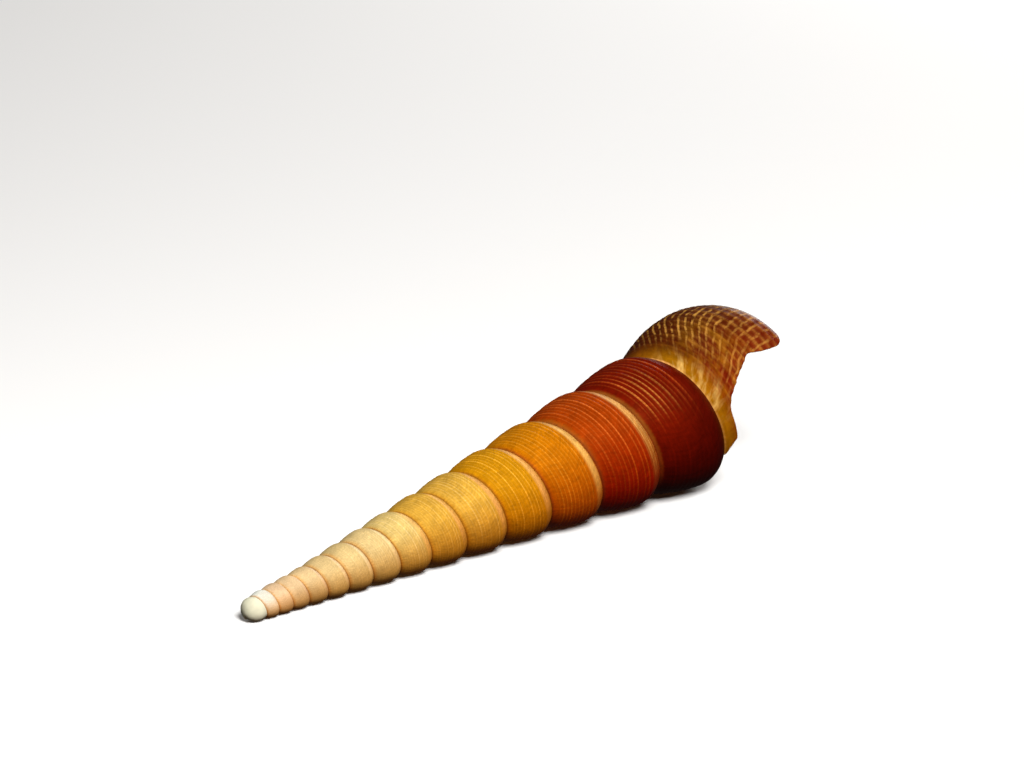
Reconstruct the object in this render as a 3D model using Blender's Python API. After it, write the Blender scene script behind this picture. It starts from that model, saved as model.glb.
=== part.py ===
"""Auger shell: a tall sea shell that winds to the right, lying on its side.

The whole shell is one solid. A curve, the whorl profile, turns about the
axis of coiling and grows by the same ratio in every turn. Its outer wall is
the spire. Past the last suture the wall turns in over the base to the
columella, the pillar that the whorls wind about, and the tube between them
stands open at the lip.

A place on the shell is (turn, place): the turn counts round the axis, and the
place runs across the wall from the suture above (0) to the suture below (1).
Heights are measured along the axis from the tip of the cone that the whorls
touch. The surface is a loft between columns of points that lie across the
wall. The columns have unlike numbers of rows, because the ribs come in down
the spire and the lip cuts the last columns short.
"""

import math

import bmesh
import bpy
import numpy as np
from mathutils import Matrix, Vector

# The cone that the whorls touch
CONE_HALF_ANGLE = math.radians(6.984)
WHORL_RATIO = 1.1433
CREST_HEIGHT = 0.1269
REST_ROLL = math.radians(151)

# The wall of one whorl, from suture to suture
CREST_PLACE = 0.65
CREST_OFFSET = 0.696
UPPER_DROP = 0.102
GROOVE_DROP = 0.048
GROOVE_WIDTH = 0.055
LOWER_DROP = UPPER_DROP + GROOVE_DROP
LOWER_POWER = 2.5
MOST_RIBS = 8
RIB_STEP = 0.11
RIB_DEPTH = 0.013

# Past the last suture the wall is fuller, and its rim reaches further over the base
RIM_DROP = 0.122
RIM_REACH = 0.115
RIM_START = -0.50
RIM_END = -0.15

# The last half whorl opens out towards the lip
FLARE = 0.15
FLARE_START = -0.40
FLARE_END = 0.20
FLARE_PLACE = 0.65
TONGUE_FLARE = 0.07
TONGUE_START = 0.05
TONGUE_END = 0.21
TONGUE_PLACE = 0.59

# The base and the columella, as shares of the height of the rim
PILLAR_RADIUS = 0.016
BASE_BULGE = 0.010
BASE_DIP = 0.016
PILLAR_END_BACK = 0.004
BASE_SWEEP = -0.135
BASE_SWEEP_START = -0.37

# The wall that is left round the open tube
WALL = 0.0010
LIP_WALL = 0.0005
LIP_THINNING = 4
TUBE_DEPTH = 1.36
TUBE_END_TURN = 0.06

# The lip, as (angle round the axis in degrees, place across the wall): from its end at
# the suture to the deepest point of its bay, then on to the tongue at the rim
BAY_EDGE = (
    (28.9, 0.0),
    (32.0, 0.020),
    (36.4, 0.038),
    (39.9, 0.055),
    (42.9, 0.074),
    (45.5, 0.095),
    (47.9, 0.116),
    (51.0, 0.131),
    (56.0, 0.136),
    (68.9, 0.142),
    (73.8, 0.150),
    (79.0, 0.175),
    (83.6, 0.216),
    (89.3, 0.292),
    (95.9, 0.396),
    (99.7, 0.484),
    (104.4, 0.594),
)
TONGUE_EDGE = (
    (106.0, CREST_PLACE),
    (102.0, 0.722),
    (100.9, 0.793),
    (100.5, 0.860),
    (102.4, 0.930),
    (108.5, 1.0),
)
TONGUE_LEAN_START = -0.05

# Facets
SIDES = 28
EDGE_ROW = 0.05
CIRCUMSCRIBE = 1 / math.cos(math.pi / SIDES)
CONTACT_TURN = -REST_ROLL / math.tau
LIP_COLUMN = 17
LAST_COLUMN = 23
APEX_TURN = -14.35
APEX_ROUND = 0.0018
APEX_FULL = 0.92
APEX_SWELL = 0.0003
APEX_SWELL_START = -10.5
BASE_PLACES = (0.0, 0.09, 0.36, 0.66, 0.87, 1.0)
INNER_PLACES = (0.18, 0.40, CREST_PLACE, 0.80, 0.92)
PILLAR_STEPS = (1 / 3, 2 / 3)
ROW_GAP = 0.02
CAP_RINGS = 2
CAP_DRAW = 0.55

# Rows across the wall from each turn on: plain near the apex, then with more and more ribs
PLAIN_ROWS = (0.0, 0.20, CREST_PLACE, 0.86, 1.0)
ROW_PLAN = ((APEX_TURN - 1, 0), (-10.0, 2), (-6.0, 4), (-3.6, MOST_RIBS))

SHARP_ANGLE = math.radians(17)
SHELL_COLOUR = (0.50, 0.17, 0.025, 1.0)
SHELL_ROUGHNESS = 0.32


def smooth_step(value):
    """Rises from 0 to 1 with level ends as value goes from 0 to 1."""
    value = min(max(value, 0.0), 1.0)
    return value * value * (3 - 2 * value)


def turn_of(column):
    """Turn of a column of facets: a flat faces the ground in every whorl."""
    return CONTACT_TURN + (column + 0.5) / SIDES


def rim_share(turn):
    """How far the wall has taken on its shape past the last suture, from 0 to 1."""
    return smooth_step((turn - RIM_START) / (RIM_END - RIM_START))


def past_crest(place):
    """0 up to the crest, then rising evenly to 1 at the rim."""
    return max(place - CREST_PLACE, 0.0) / (1 - CREST_PLACE)


def wall_profile(turn, place):
    """Radius of the wall at a place from suture (0) to suture (1), as a share of the cone's."""
    if place > CREST_PLACE:
        drop = LOWER_DROP + (RIM_DROP - LOWER_DROP) * rim_share(turn)
        return 1 - drop * past_crest(place) ** LOWER_POWER
    before = (CREST_PLACE - place) / CREST_PLACE
    return 1 - UPPER_DROP * before**2 - GROOVE_DROP * math.exp(-place / GROOVE_WIDTH)


def flare_at(turn, place):
    """Share by which the last half whorl stands out from the cone."""
    along = smooth_step((turn - FLARE_START) / (FLARE_END - FLARE_START))
    opened = 1 + FLARE * along * smooth_step(place / FLARE_PLACE)
    tongue = smooth_step((turn - TONGUE_START) / (TONGUE_END - TONGUE_START))
    return opened + TONGUE_FLARE * tongue * smooth_step((place - TONGUE_PLACE) / (1 - TONGUE_PLACE))


def height_at(turn, place):
    """Height along the axis of a place across the wall."""
    reach = RIM_REACH * rim_share(turn) * past_crest(place)
    return CREST_HEIGHT * WHORL_RATIO ** (turn + place + reach - CREST_OFFSET)


def apex_swell(turn):
    """Width that the worn first whorls have more than the cone gives them."""
    return APEX_SWELL * smooth_step((APEX_SWELL_START - turn) / (APEX_SWELL_START - APEX_TURN))


def wall_point(turn, place, inward=0.0):
    """(turn, height, radius) on the outside of the wall, or inward from it."""
    height = height_at(turn, place)
    radius = (height * math.tan(CONE_HALF_ANGLE) + apex_swell(turn)) * CIRCUMSCRIBE
    return turn, height, radius * wall_profile(turn, place) * flare_at(turn, place) - inward


def base_point(turn, rim_turn, place, inward=0.0):
    """(turn, height, radius) on the base, from the rim (0) to the columella (1)."""
    rim_radius = wall_point(rim_turn, 1.0)[2]
    rim_height = height_at(turn, 1.0)
    bulge = BASE_BULGE * math.sin(math.pi * place) - BASE_DIP * place
    radius = rim_radius + (PILLAR_RADIUS * rim_height - rim_radius) * place
    return turn, rim_height * (1 + bulge) - inward, radius


def column_turn(column, place):
    """Turn of a point on a column: towards the lip its lower part leans over to the tongue."""
    angles, places = np.transpose(TONGUE_EDGE)
    lean = (angles[0] - float(np.interp(place, places, angles))) / 360
    turn = turn_of(column)
    share = (turn - TONGUE_LEAN_START) / (turn_of(LIP_COLUMN) - TONGUE_LEAN_START)
    return turn + lean * max(share, 0.0)


def base_turn(column, place):
    """Turn of a point on the base: towards the lip the base sweeps back to the columella."""
    turn = turn_of(column)
    share = (turn - BASE_SWEEP_START) / (turn_of(LIP_COLUMN) - BASE_SWEEP_START)
    return column_turn(column, 1.0) + BASE_SWEEP * max(share, 0.0) * place


def bay_place(column):
    """Place across the wall where the lip cuts a column that is past the bay."""
    angles, places = np.transpose(BAY_EDGE)
    return float(np.interp(180 - 360 * turn_of(column), angles, places))


def rows_of(column):
    """(place, depth) of the rows across the wall at a column. Furrows lie midway between ribs."""
    ribs = [count for start, count in ROW_PLAN if turn_of(column) >= start][-1]
    if ribs == 0:
        return [(place, 0.0) for place in PLAIN_ROWS]
    spread = MOST_RIBS / ribs
    rows = [(0.0, 0.0), (EDGE_ROW, 0.0)]
    for half in range(-ribs, ribs - 1):
        place = CREST_PLACE + half * spread * RIB_STEP / 2
        if place < 1 - 2 * EDGE_ROW:
            rows.append((place, RIB_DEPTH * math.sqrt(spread) * (half % 2)))
    rows += [(1 - EDGE_ROW, 0.0), (1.0, 0.0)]
    return rows


class ShellMesh:
    """Vertices and triangles of the shell, in the frame of its own axis."""

    def __init__(self):
        self.points = []
        self.faces = []

    def add(self, spot):
        """Adds the vertex at (turn, height, radius)."""
        turn, height, radius = spot
        angle = math.tau * turn + REST_ROLL
        across = radius * math.cos(angle) - apex_swell(turn)
        self.points.append(Vector((across, radius * math.sin(angle), height)))
        return len(self.points) - 1

    def stitch(self, first, second):
        """Fills the strip between two runs of (place, vertex), both in rising order of place."""
        a = b = 0
        while a + 1 < len(first) or b + 1 < len(second):
            if b + 1 == len(second):
                step_first = True
            elif a + 1 == len(first):
                step_first = False
            elif first[a + 1][0] != second[b + 1][0]:
                step_first = first[a + 1][0] < second[b + 1][0]
            else:
                step_first = self.span(first[a + 1], second[b]) < self.span(first[a], second[b + 1])
            if step_first:
                self.faces.append((first[a][1], first[a + 1][1], second[b][1]))
                a += 1
            else:
                self.faces.append((first[a][1], second[b + 1][1], second[b][1]))
                b += 1

    def span(self, one, other):
        """Distance between two (place, vertex) items."""
        return (self.points[one[1]] - self.points[other[1]]).length

    def dome(self, loop, pole, shares):
        """Closes a loop of vertices with a rounded cap that ends at the pole. The cap is like a
        ball: it first widens from each vertex, which has this share of its widest radius."""
        last = list(loop)
        for ring in range(1, CAP_RINGS + 1):
            inner = []
            for vertex, share in zip(loop, shares):
                start = math.acos(min(share, 1.0))
                slope = (math.pi / 2 + start) * ring / (CAP_RINGS + 1) - start
                reach = (math.sin(slope) + math.sin(start)) / (1 + math.sin(start))
                spread = math.cos(slope) / math.cos(start)
                point = self.points[vertex]
                across = Vector((point.x - pole.x, point.y - pole.y, 0)) * spread
                height = point.z + (pole.z - point.z) * reach
                self.points.append(Vector((pole.x, pole.y, height)) + across)
                inner.append(len(self.points) - 1)
            for k in range(len(loop)):
                n = (k + 1) % len(loop)
                self.faces.append((last[k], last[n], inner[n]))
                self.faces.append((last[k], inner[n], inner[k]))
            last = inner
        self.points.append(pole)
        top = len(self.points) - 1
        for k in range(len(last)):
            self.faces.append((last[k], last[(k + 1) % len(last)], top))

    def draw_in(self, loop, pole):
        """Closes a loop of vertices with a ring drawn in towards the pole and a fan to it."""
        ring = []
        for vertex in loop:
            self.points.append(self.points[vertex].lerp(pole, CAP_DRAW))
            ring.append(len(self.points) - 1)
        self.points.append(pole)
        top = len(self.points) - 1
        for k in range(len(loop)):
            n = (k + 1) % len(loop)
            self.faces.append((loop[k], loop[n], ring[n]))
            self.faces.append((loop[k], ring[n], ring[k]))
            self.faces.append((ring[k], ring[n], top))


def lip_cut(column, places):
    """The places that lie on the wall at a column, and the lip's own place last."""
    if column <= LIP_COLUMN:
        return places
    edge = bay_place(column)
    return [place for place in places if place < edge - ROW_GAP] + [edge]


def up_to_bay(run):
    """The part of the column at the lip that the wall past the bay grows from."""
    return [item for item in run if item[0] <= CREST_PLACE]


def wall_columns(mesh, first):
    """Columns of the outer wall as runs of (place, vertex). Neighbouring whorls share their suture."""
    sutures = {
        column: mesh.add(wall_point(turn_of(column), 0.0))
        for column in range(first, LAST_COLUMN + 1)
    }
    columns = {}
    for column in range(first, LAST_COLUMN):
        depths = dict(rows_of(column))
        run = [(0.0, sutures[column])]
        for place in lip_cut(column, list(depths))[1:]:
            rim = sutures.get(column + SIDES) if place == 1.0 else None
            if rim is None:
                turn, height, radius = wall_point(column_turn(column, place), place)
                rim = mesh.add((turn, height, radius * (1 - depths.get(place, 0.0))))
            run.append((place, rim))
        columns[column] = run
    columns[LAST_COLUMN] = [(0.0, sutures[LAST_COLUMN])]
    return columns


def base_columns(mesh, walls, first):
    """Columns of the base, from rim to columella. Inside the shell they are the roof of the next tube."""
    columns = {}
    for column in range(first, LIP_COLUMN + 1):
        run = [(0.0, walls[column][-1][1])]
        for place in BASE_PLACES[1:]:
            turn = base_turn(column, place)
            spot = base_point(turn, column_turn(column, 1.0), place)
            run.append((place, mesh.add(spot)))
        columns[column] = run
    return columns


def tube_columns(mesh, bases, first):
    """Columns of the tube's inside: wall, floor and columella, from roof to roof."""
    columns = {}
    for column in range(first, LAST_COLUMN):
        share = (column - first) / (LAST_COLUMN - first)
        wall = WALL + (LIP_WALL - WALL) * share**LIP_THINNING
        roof = bases[column - SIDES]
        run = [(0.0, roof[1][1])]
        for place in lip_cut(column, list(INNER_PLACES)):
            spot = wall_point(column_turn(column, place), place, wall)
            run.append((place, mesh.add(spot)))
        columns[column] = run
        if column > LIP_COLUMN:
            continue
        for place in BASE_PLACES[1:]:
            turn = base_turn(column, place)
            spot = base_point(turn, column_turn(column, 1.0), place, wall)
            run.append((1 + place, mesh.add(spot)))
        foot = mesh.points[run[-1][1]]
        head = mesh.points[roof[-1][1]]
        for step in PILLAR_STEPS:
            mesh.points.append(foot.lerp(head, step))
            run.append((2 + step, len(mesh.points) - 1))
        run.append((3.0, roof[-1][1]))
    columns[LAST_COLUMN] = [(0.0, bases[LAST_COLUMN - SIDES][1][1])]
    return columns


def lip_edge(columns, past_rim):
    """Edge of a sheet along the lip: past the bay, down the tongue, then on to the columella."""
    edge = [
        (LIP_COLUMN - column, columns[column][-1][1])
        for column in range(LAST_COLUMN, LIP_COLUMN, -1)
    ]
    edge += [item for item in columns[LIP_COLUMN] if CREST_PLACE <= item[0] <= 2]
    return edge + past_rim


def build_shell_mesh():
    """Points and triangles of the closed shell."""
    mesh = ShellMesh()
    first = round((APEX_TURN - CONTACT_TURN) * SIDES)
    deep = LAST_COLUMN - round(TUBE_DEPTH * SIDES)

    walls = wall_columns(mesh, first)
    bases = base_columns(mesh, walls, deep - SIDES)
    tubes = tube_columns(mesh, bases, deep)
    for columns, start in ((walls, first), (tubes, deep)):
        for column in range(start, LAST_COLUMN):
            run = columns[column]
            if column == LIP_COLUMN:
                run = up_to_bay(run)
            mesh.stitch(run, columns[column + 1])
    for column in range(deep - SIDES, LIP_COLUMN):
        outer = 0 if column >= LAST_COLUMN - SIDES else 1
        mesh.stitch(bases[column][outer:], bases[column + 1][outer:])

    # The lip joins the outside to the inside, from the suture to the columella
    past_rim = [(1 + place, vertex) for place, vertex in bases[LIP_COLUMN][1:]]
    mesh.stitch(lip_edge(walls, past_rim), lip_edge(tubes, []))

    # The end of the columella
    loop = [bases[column][-1][1] for column in range(LIP_COLUMN - SIDES, LIP_COLUMN + 1)]
    loop += [vertex for place, vertex in tubes[LIP_COLUMN] if 2 <= place < 3]
    end_height = mesh.points[bases[LIP_COLUMN][-1][1]].z
    mesh.dome(loop, Vector((0, 0, end_height * (1 - PILLAR_END_BACK))), [1.0] * len(loop))

    # The closed end of the tube
    loop = [vertex for _, vertex in tubes[deep]]
    loop += [vertex for _, vertex in reversed(bases[deep - SIDES][2:-1])]
    middle = sum((mesh.points[vertex] for vertex in loop), Vector()) / len(loop)
    back = Matrix.Rotation(-math.tau * TUBE_END_TURN, 3, "Z") @ middle
    mesh.draw_in(loop, back)

    # The worn apex
    loop = [walls[column][0] for column in range(first, first + SIDES)]
    loop += reversed(walls[first][1:])
    shares = [wall_profile(APEX_TURN, place) / APEX_FULL for place, _ in loop]
    loop = [vertex for _, vertex in loop]
    low = min(mesh.points[vertex].z for vertex in loop)
    mesh.dome(loop, Vector((-apex_swell(APEX_TURN), 0, low - APEX_ROUND)), shares)
    return mesh


def shell_material():
    """Orange brown shell with a faint gloss."""
    material = bpy.data.materials.new("shell")
    material.use_nodes = True
    shader = material.node_tree.nodes["Principled BSDF"]
    shader.inputs["Base Color"].default_value = SHELL_COLOUR
    shader.inputs["Roughness"].default_value = SHELL_ROUGHNESS
    shader.inputs["Metallic"].default_value = 0.0
    return material


def add_shell(collection):
    """The shell object, lying on the lower side of its cone, with its bottom centre at the origin."""
    built = build_shell_mesh()
    data = bpy.data.meshes.new("shell")
    data.from_pydata([tuple(point) for point in built.points], [], built.faces)
    work = bmesh.new()
    work.from_mesh(data)
    bmesh.ops.recalc_face_normals(work, faces=work.faces[:])
    work.to_mesh(data)
    work.free()
    data.shade_smooth()
    data.set_sharp_from_angle(angle=SHARP_ANGLE)
    data.materials.append(shell_material())

    shell = bpy.data.objects.new("shell", data)
    collection.objects.link(shell)
    lean = Matrix.Rotation(math.pi / 2 - CONE_HALF_ANGLE, 4, "Y")
    placed = np.array([lean @ point for point in built.points])
    middle = (placed.min(axis=0) + placed.max(axis=0)) / 2
    shell.matrix_world = Matrix.Translation((-middle[0], -middle[1], 0)) @ lean
    return shell


def main():
    for old in list(bpy.data.objects):
        bpy.data.objects.remove(old)
    collection = bpy.data.collections.new("Auger shell")
    bpy.context.scene.collection.children.link(collection)
    add_shell(collection)


main()
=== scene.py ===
"""Auger shell: the fine surface and the finish of the shell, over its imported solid.

The shell is one wall that winds to the right round an axis. A place on it is (turn, place):
the turn counts round the axis, and the place runs across the wall from the suture above (0)
to the suture below (1), then over the base from the rim (1) to the columella (2). Heights are
measured along the axis, from the tip of the cone that the whorls touch.
"""

import math

import bpy
import numpy as np
from bpy.props import FloatProperty, FloatVectorProperty, IntProperty, PointerProperty
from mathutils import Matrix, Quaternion, Vector


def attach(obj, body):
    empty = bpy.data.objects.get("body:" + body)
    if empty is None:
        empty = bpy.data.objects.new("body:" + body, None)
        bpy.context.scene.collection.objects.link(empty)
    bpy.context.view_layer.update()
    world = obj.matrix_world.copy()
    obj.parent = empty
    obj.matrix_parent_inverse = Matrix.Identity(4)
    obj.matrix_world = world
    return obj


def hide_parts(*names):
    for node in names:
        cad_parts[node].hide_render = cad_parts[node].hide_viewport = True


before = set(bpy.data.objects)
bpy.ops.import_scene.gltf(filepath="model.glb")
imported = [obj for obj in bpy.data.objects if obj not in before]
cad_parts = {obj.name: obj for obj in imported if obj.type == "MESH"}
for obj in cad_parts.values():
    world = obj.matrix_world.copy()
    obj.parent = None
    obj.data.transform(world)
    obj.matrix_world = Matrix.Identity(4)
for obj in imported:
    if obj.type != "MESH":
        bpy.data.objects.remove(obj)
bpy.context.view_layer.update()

bl_info = {
    "name": "Auger shell",
    "version": (1, 0, 0),
    "blender": (4, 5, 0),
    "location": "3D View > Sidebar > Shell",
    "description": "Makes the ribbed, coloured surface of a tall sea shell, and a plain stage for it",
    "category": "Add Mesh",
}

MM = 0.001

# The cone that the whorls touch, lying on its side on the ground
CONE_TIP = np.array((-0.0751022, -0.0006890, 0.0))
CONE_HALF_ANGLE = math.radians(6.984)
AXIS = np.array((math.cos(CONE_HALF_ANGLE), 0.0, math.sin(CONE_HALF_ANGLE)))
WHORL_RATIO = 1.1433
CREST_HEIGHT = 0.1269
REST_ROLL = math.radians(151)

# The wall of one whorl, from suture to suture
CREST_PLACE = 0.65
CREST_OFFSET = 0.696
UPPER_DROP = 0.102
GROOVE_DROP = 0.048
GROOVE_WIDTH = 0.055
LOWER_DROP = UPPER_DROP + GROOVE_DROP
LOWER_POWER = 2.5

# Past the last suture the wall is fuller, and its rim reaches further over the base
RIM_DROP = 0.122
RIM_REACH = 0.115
RIM_START = -0.50
RIM_END = -0.15

# The last half whorl opens out towards the lip
FLARE = 0.15
FLARE_START = -0.40
FLARE_END = 0.20
FLARE_PLACE = 0.65
TONGUE_FLARE = 0.07
TONGUE_START = 0.05
TONGUE_END = 0.21
TONGUE_PLACE = 0.59

# The base and the columella, as shares of the height of the rim. From BASE_SWEEP_START on the
# base also sweeps back by as many turns as BASE_SWEEP
PILLAR_RADIUS = 0.016
BASE_BULGE = 0.010
BASE_DIP = 0.016
PILLAR_END_BACK = 0.004
BASE_SWEEP = -0.135
BASE_SWEEP_START = -0.37

# The open tube: the wall that is left round it, how many turns it runs in, and its blunt end
WALL = 1.0 * MM
LIP_WALL = 0.5 * MM
LIP_THINNING = 4
TUBE_DEPTH = 1.10
TUBE_END_TURN = 0.06
TUBE_MIDDLE = 0.5
ROOF_ROW = 2

# The lip, as (place across the wall, angle round the axis in degrees), from its end at the
# suture to the deepest point of its bay, then over the tongue to the rim
LIP_OUTLINE = (
    (0.0, 28.9), (0.020, 32.0), (0.038, 36.4), (0.055, 39.9), (0.074, 42.9), (0.095, 45.5),
    (0.116, 47.9), (0.131, 51.0), (0.136, 56.0), (0.142, 68.9), (0.150, 73.8), (0.175, 79.0),
    (0.216, 83.6), (0.292, 89.3), (0.396, 95.9), (0.484, 99.7), (0.594, 104.4), (0.612, 105.0),
    (0.665, 103.3), (0.722, 102.0), (0.793, 100.9), (0.860, 100.5), (0.893, 100.7),
    (0.930, 102.4), (1.0, 108.5),
)
LIP_ANGLE = 106.0
LIP_ROUND = 0.0025
LIP_TURN = 0.5 - LIP_ANGLE / 360 - LIP_ROUND

# The turn from which columns swing to the shape of the lip, and the place from which their lower
# ends do so one turn before
LEAN_START = LIP_TURN - 0.46
LEAN_FOOT = 0.4

# The worn first whorls
APEX_TURN = -14.35
APEX_ROUND = 0.00172
APEX_FULL = 0.92
APEX_SWELL = 0.0003
APEX_SWELL_START = -10.5

# Spiral ribs across one whorl, as (place, height), and the fine threads between them
RIBS = (
    (0.050, 0.45), (0.125, 0.60), (0.187, 0.90), (0.255, 0.65), (0.322, 0.95),
    (0.392, 0.85), (0.460, 0.65), (0.527, 1.0), (0.592, 0.60), (0.657, 0.90),
    (0.728, 1.0), (0.800, 0.8), (0.865, 0.8), (0.930, 0.7),
)
RIB_WIDTH = 0.017
THREAD_WIDTH = 0.009
THREAD_SHARE = 0.16

# The ribbed part of a whorl, and how far it draws back below the suture on the last half whorl
RIB_FIELD = (0.02, 0.05, 0.755, 0.785)
RIB_FIELD_BACK = 0.16
LAST_FIELD_START = -0.35
LAST_FIELD_END = -0.05

# The ribs are low up the spire, and faint from FAINT_START on until they return at the lip
LOW_SPIRE_RIBS = 0.35
LOW_SPIRE_START = -9
LOW_SPIRE_END = -4
FAINT_SHARE = 0.65
FAINT_START = (-0.85, -0.65)
FAINT_END = (0.10, 0.26)

# Growth lines, as (lines in a turn, height, shift) of the sines that they are the sum of. They
# bow to shallow bays up the spire, and sweep back to the bay of the lip on the last half whorl
GROWTH_LINES = 64
GROWTH_WAVES = ((GROWTH_LINES, 0.5, 0.0), (43.7, 0.3, 1.3), (17.3, 0.2, 0.4))
GROWTH_HINGE = 0.60
GROWTH_SWEEP = 0.18
GROWTH_BEND = 0.14
GROWTH_BAY = 0.035
SWEEP_START = -0.45
SWEEP_END = -0.05

# Where the growth lines grow rougher, the edges where they fade, and the radius of the whorl
# where they have their full depth
ROUGH_LEAST = 0.25
ROUGH_START = (-0.30, 0.0)
ROUGH_PLACE = (0.12, 0.27)
ROUGH_EDGES = (0.06, 0.04)
LIP_SIZE = 0.0135

# Where each piece of the wall ends, in turns, and how finely the wall is divided. The strides say
# from which turn on each nth row is kept, and LIP_ROWS how much closer rows stand near the lip
BEFORE_TIP = -15
SPIRE_END = LIP_TURN - 3.625
WHORLS_END = LIP_TURN - 1.625
WALL_ROWS = 96
SPIRE_STRIDES = ((BEFORE_TIP, 4), (-8.2, 2), (-4.2, 1))
ALL_ROWS = ((BEFORE_TIP, 1),)
LIP_ROWS = (6.0, 0.14, 0.02)
DENSITY_STEPS = 2000
EVEN_PLACES = np.linspace(0, 1, WALL_ROWS + 1)
BASE_SHARES = np.linspace(0, 1, 21)
LINING_STEP = 4
PILLAR_ROWS = 6
LIP_RINGS = 4
CAP_RINGS = 7
UPPER_POLE = 0.35
LOWER_POLE = 0.3
SHARP_ANGLE = math.radians(42)

# The softened corner between wall and base: rows and columns that it reaches over, and its steps
LOOSE_ROWS = 3.5
BARE_COLUMNS = 30
ROUNDING_STEPS = 8

# Colours of the shell and of the floor, as name, sRGB code and use
COLOURS = (
    ("tip", "#cedcd6", "Worn tip, nearly white"),
    ("peach", "#c5a684", "First whorls below the tip"),
    ("buff", "#baa06a", "Upper spire"),
    ("straw", "#bca05c", "Seventh whorl from the lip"),
    ("yellow", "#b4882e", "Fifth and sixth whorl from the lip"),
    ("amber", "#aa7206", "Third and fourth whorl from the lip, and a painted_shade there"),
    ("orange", "#a66202", "End of the third whorl from the lip"),
    ("russet", "#983e02", "Start of the second whorl from the lip"),
    ("rust", "#862e02", "Second whorl from the lip"),
    ("red", "#7a1002", "End of the second whorl from the lip"),
    ("maroon", "#5e0e02", "Last full whorl, and the ground at the lip"),
    # Partly the last whorl's own dark colour, and partly painted shade of its underside
    ("dark", "#380502", "End of the last full whorl"),
    ("brown", "#421504", "Ground of the last half whorl"),
    ("pale", "#d6c090", "Ribs and pale band of the upper spire"),
    ("honey", "#e0b868", "Ribs of the yellow whorls, and pale streaks near the lip"),
    ("apricot", "#e4a838", "Ribs of the amber whorls"),
    ("copper", "#dc9028", "Ribs of the orange whorl"),
    ("salmon", "#cc6828", "Ribs of the rust whorl, and rubbed ribs of the next"),
    ("ember", "#b04c18", "Ribs of the maroon whorl"),
    ("cream", "#ce9a4a", "Pale band above each suture"),
    ("shine", "#ecc47c", "Thin pale threads in the pale band"),
    ("tan", "#c48a44", "Pale band of the yellow whorls, and the lining"),
    ("sand", "#bc8a48", "Beside the sutures of the upper spire"),
    ("umber", "#945410", "Beside the sutures of the dark whorls"),
    ("ochre", "#b47c20", "Beside the sutures of the yellow whorls"),
    ("net", "#cc9440", "Net of growth lines and ribs near the lip"),
    ("olive", "#7c4206", "Smooth zone where the last half whorl begins, and ribs at the lip"),
    ("gold", "#9a6606", "Smooth zone and haze of the last half whorl"),
    ("thread", "#d09454", "Bright thread along the last suture"),
    ("lining", "#a88460", "Inside of the mouth"),
    # Painted shade in the suture grooves
    ("suture", "#593119", "Dark painted_shade in the sutures"),
    # Painted shade: warm tint of the side away from the light
    ("warmth", "#f4ce90", "Tint of the side towards the ground"),
    ("gloss", "#ff9040", "Warm tint of the faint gloss"),
    ("ground", "#f2f1ef", "Floor of the stage"),
)

# Colours down the spire, as (turn, name of a colour): the ground, the ribs, the zone below each
# suture and the pale band above it
# On the last full whorl the stops darken from its lit side to its underside (turns -0.82 to -0.52):
# partly its own colour, partly painted shade
GROUND_STOPS = (
    (-15.0, "tip"), (-14.2, "tip"), (-13.5, "peach"), (-9.4, "buff"), (-7.9, "buff"),
    (-6.8, "straw"), (-6.4, "yellow"), (-4.7, "yellow"), (-4.3, "amber"), (-3.5, "amber"),
    (-2.9, "orange"), (-2.5, "russet"), (-2.0, "rust"), (-1.82, "rust"), (-1.6, "red"),
    (-1.0, "maroon"), (-0.75, "maroon"), (-0.58, "dark"), (-0.20, "brown"), (0.12, "brown"),
    (0.22, "maroon"),
)
CORD_STOPS = (
    (-15.0, "tip"), (-14.2, "tip"), (-13.5, "peach"), (-10.0, "pale"), (-6.9, "pale"),
    (-6.3, "honey"), (-4.7, "honey"), (-4.2, "apricot"), (-3.2, "apricot"), (-2.7, "copper"),
    (-2.2, "salmon"), (-1.8, "salmon"), (-1.6, "russet"), (-1.1, "red"), (-0.96, "ember"),
    (-0.82, "ember"), (-0.74, "maroon"), (-0.62, "maroon"), (-0.52, "dark"), (-0.1, "brown"),
    (0.24, "olive"),
)
ZONE_STOPS = (
    (-15.0, "sand"), (-8.0, "sand"), (-6.4, "ochre"), (-5.5, "ochre"), (-4.5, "amber"),
    (-3.5, "orange"), (-2.6, "russet"), (-1.9, "umber"), (-1.6, "red"), (-0.95, "umber"),
    (-0.72, "umber"), (-0.62, "rust"), (-0.52, "dark"), (-0.25, "olive"), (0.02, "olive"),
    (0.10, "gold"), (0.42, "gold"),
)
BAND_STOPS = (
    (-15.0, "tip"), (-14.2, "tip"), (-13.5, "peach"), (-11.0, "peach"), (-8.0, "pale"),
    (-6.6, "cream"), (-5.2, "tan"), (-3.4, "tan"), (-2.9, "cream"), (-1.95, "cream"),
    (-1.84, "tan"), (-1.72, "umber"), (-1.5, "red"), (-1.0, "umber"), (-0.90, "umber"),
    (-0.80, "red"),
)

# Patterns of the colour and the bump
BLOTCH = 2.6 * MM
GRAIN = 0.45 * MM
FINE_LINES = 100
LINE_WARP = 0.012
# Turn of the side that faces the key light: the pale band is painted clearest there, and a quarter turn
# on the warm painted shade is strongest
LIT_SIDE = 0.23
UNEVEN_TONE = 0.14
BUMP_HEIGHT = 0.06 * MM

CAMERA_BACK = np.array((-0.49286, -0.65231, 0.32422))
CAMERA_AIM = np.array((0.10014, 0.02424, 0.01904))
CAMERA_LEAN = math.radians(-0.84)
CAMERA_LENS = 175.78

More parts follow.
